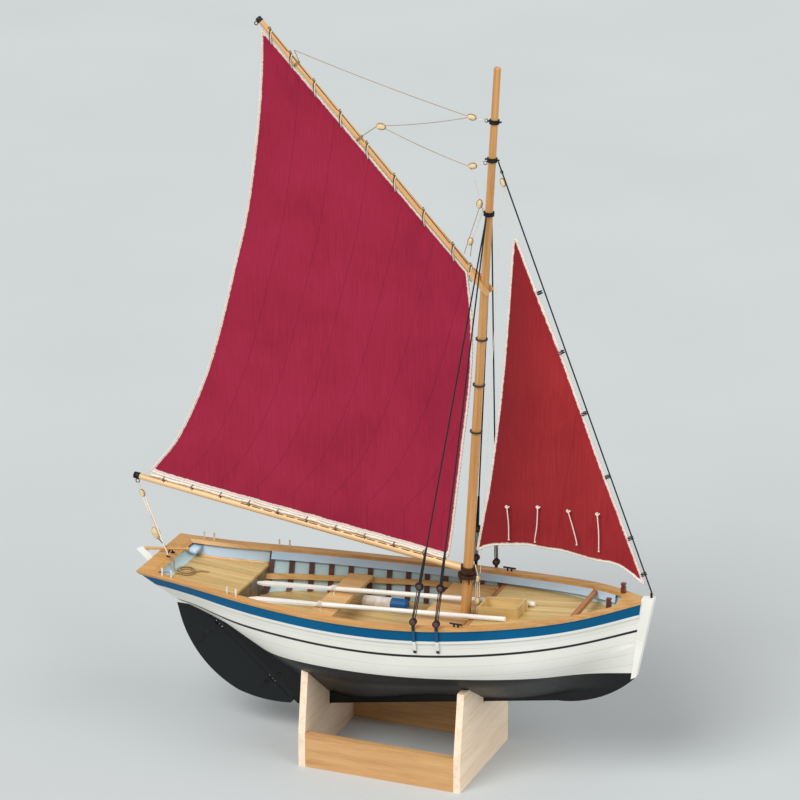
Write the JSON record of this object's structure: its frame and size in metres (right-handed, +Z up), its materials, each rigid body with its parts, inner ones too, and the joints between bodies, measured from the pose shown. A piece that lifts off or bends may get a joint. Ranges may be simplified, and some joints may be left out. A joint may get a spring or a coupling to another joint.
{
  "type": "model gaff fishing sloop on a cradle",
  "caption": "Wooden display model of an open gaff fishing sloop: planked hull on a wooden cradle, decks, oars, hung rudder, mast, boom, gaff, cotton mainsail and jib.",
  "frame": {"origin": "on the table under the middle of the model, between the cradle's plates", "axes": "+X towards the bow, +Y to port, +Z up"},
  "size_m": [0.4219, 0.135, 0.571],
  "materials": {
    "pine_boards": "sanded, oiled",
    "black_hull_paint": "satin paint",
    "white_hull_paint": "satin paint",
    "blue_paint": "satin paint",
    "pale_blue_paint": "satin paint",
    "rail_wood": "varnished",
    "deck_wood": "varnished",
    "thwart_wood": "varnished",
    "dark_wood": "stained",
    "spar_wood": "varnished",
    "white_wood": "satin paint",
    "deadeye_wood": "stained, waxed cord",
    "black_ironwork": "blackened brass",
    "bright_pins": "polished",
    "crimson_cotton": "dyed cotton",
    "red_cotton": "dyed cotton"
  },
  "bodies": {
    "hull": {"cradle_plate_aft": "pine_boards", "cradle_plate_fore": "pine_boards", "cradle_rail_port": "pine_boards", "cradle_rail_starboard": "pine_boards", "keel": "black_hull_paint", "deadwood": "black_hull_paint", "sternpost": "black_hull_paint", "forefoot": "black_hull_paint", "bottom_planking": "black_hull_paint", "topside_planking": "white_hull_paint", "rubbing_strake": "white_hull_paint", "stem": "white_hull_paint", "transom_board": "white_hull_paint", "sheer_strake": "blue_paint", "clamp": "pale_blue_paint", "cap_rail": "rail_wood", "transom_cap": "rail_wood", "aft_deck": "deck_wood", "foredeck": "deck_wood", "sole": "deck_wood", "hatch_box": "deck_wood", "mast_step": "deck_wood", "thwart": "thwart_wood", "mast_thwart": "thwart_wood", "riser": "thwart_wood", "foredeck_beam": "thwart_wood", "bow_bar": "thwart_wood", "frames": "dark_wood", "bulkhead": "dark_wood", "bitts": "dark_wood", "mast": "spar_wood", "oar_port": "white_wood", "oar_starboard": "white_wood", "float": "white_wood", "shrouds_port": "deadeye_wood", "shrouds_starboard": "deadeye_wood", "mast_bands": "black_ironwork", "spider_band": "black_ironwork", "forestay": "black_ironwork", "stem_eye": "black_ironwork", "cleats": "black_ironwork", "chainplates_port": "black_ironwork", "chainplates_starboard": "black_ironwork", "gudgeons": "black_ironwork", "thole_pins": "bright_pins"},
    "rudder": {"rudder_stock": "black_hull_paint", "rudder_back": "black_hull_paint", "rudder_straps": "black_ironwork", "tiller": "white_wood"},
    "main_rig": {"boom": "spar_wood", "boom_collar": "black_ironwork", "gaff": "spar_wood", "gaff_jaws": "spar_wood", "mast_hoops": "deadeye_wood", "mainsail": "crimson_cotton"},
    "jib": {"jib": "red_cotton"}
  },
  "joints": [
    {"name": "rudder_hinge", "type": "hinge", "parent": "hull", "child": "rudder", "pos_m": [-0.0759, 0, 0.0271], "axis": [-0.7516, 0, 0.6596], "range_deg": [-35, 35]},
    {"name": "rig_swing", "type": "hinge", "parent": "hull", "child": "main_rig", "pos_m": [0.0629, 0, 0.1236], "axis": [0.0509, 0, 0.9987], "range_deg": [-45, 45]},
    {"name": "jib_swing", "type": "hinge", "parent": "hull", "child": "jib", "pos_m": [0.2093, 0, 0.1646], "axis": [-0.3622, 0, 0.9321], "range_deg": [-25, 25]}
  ]
}
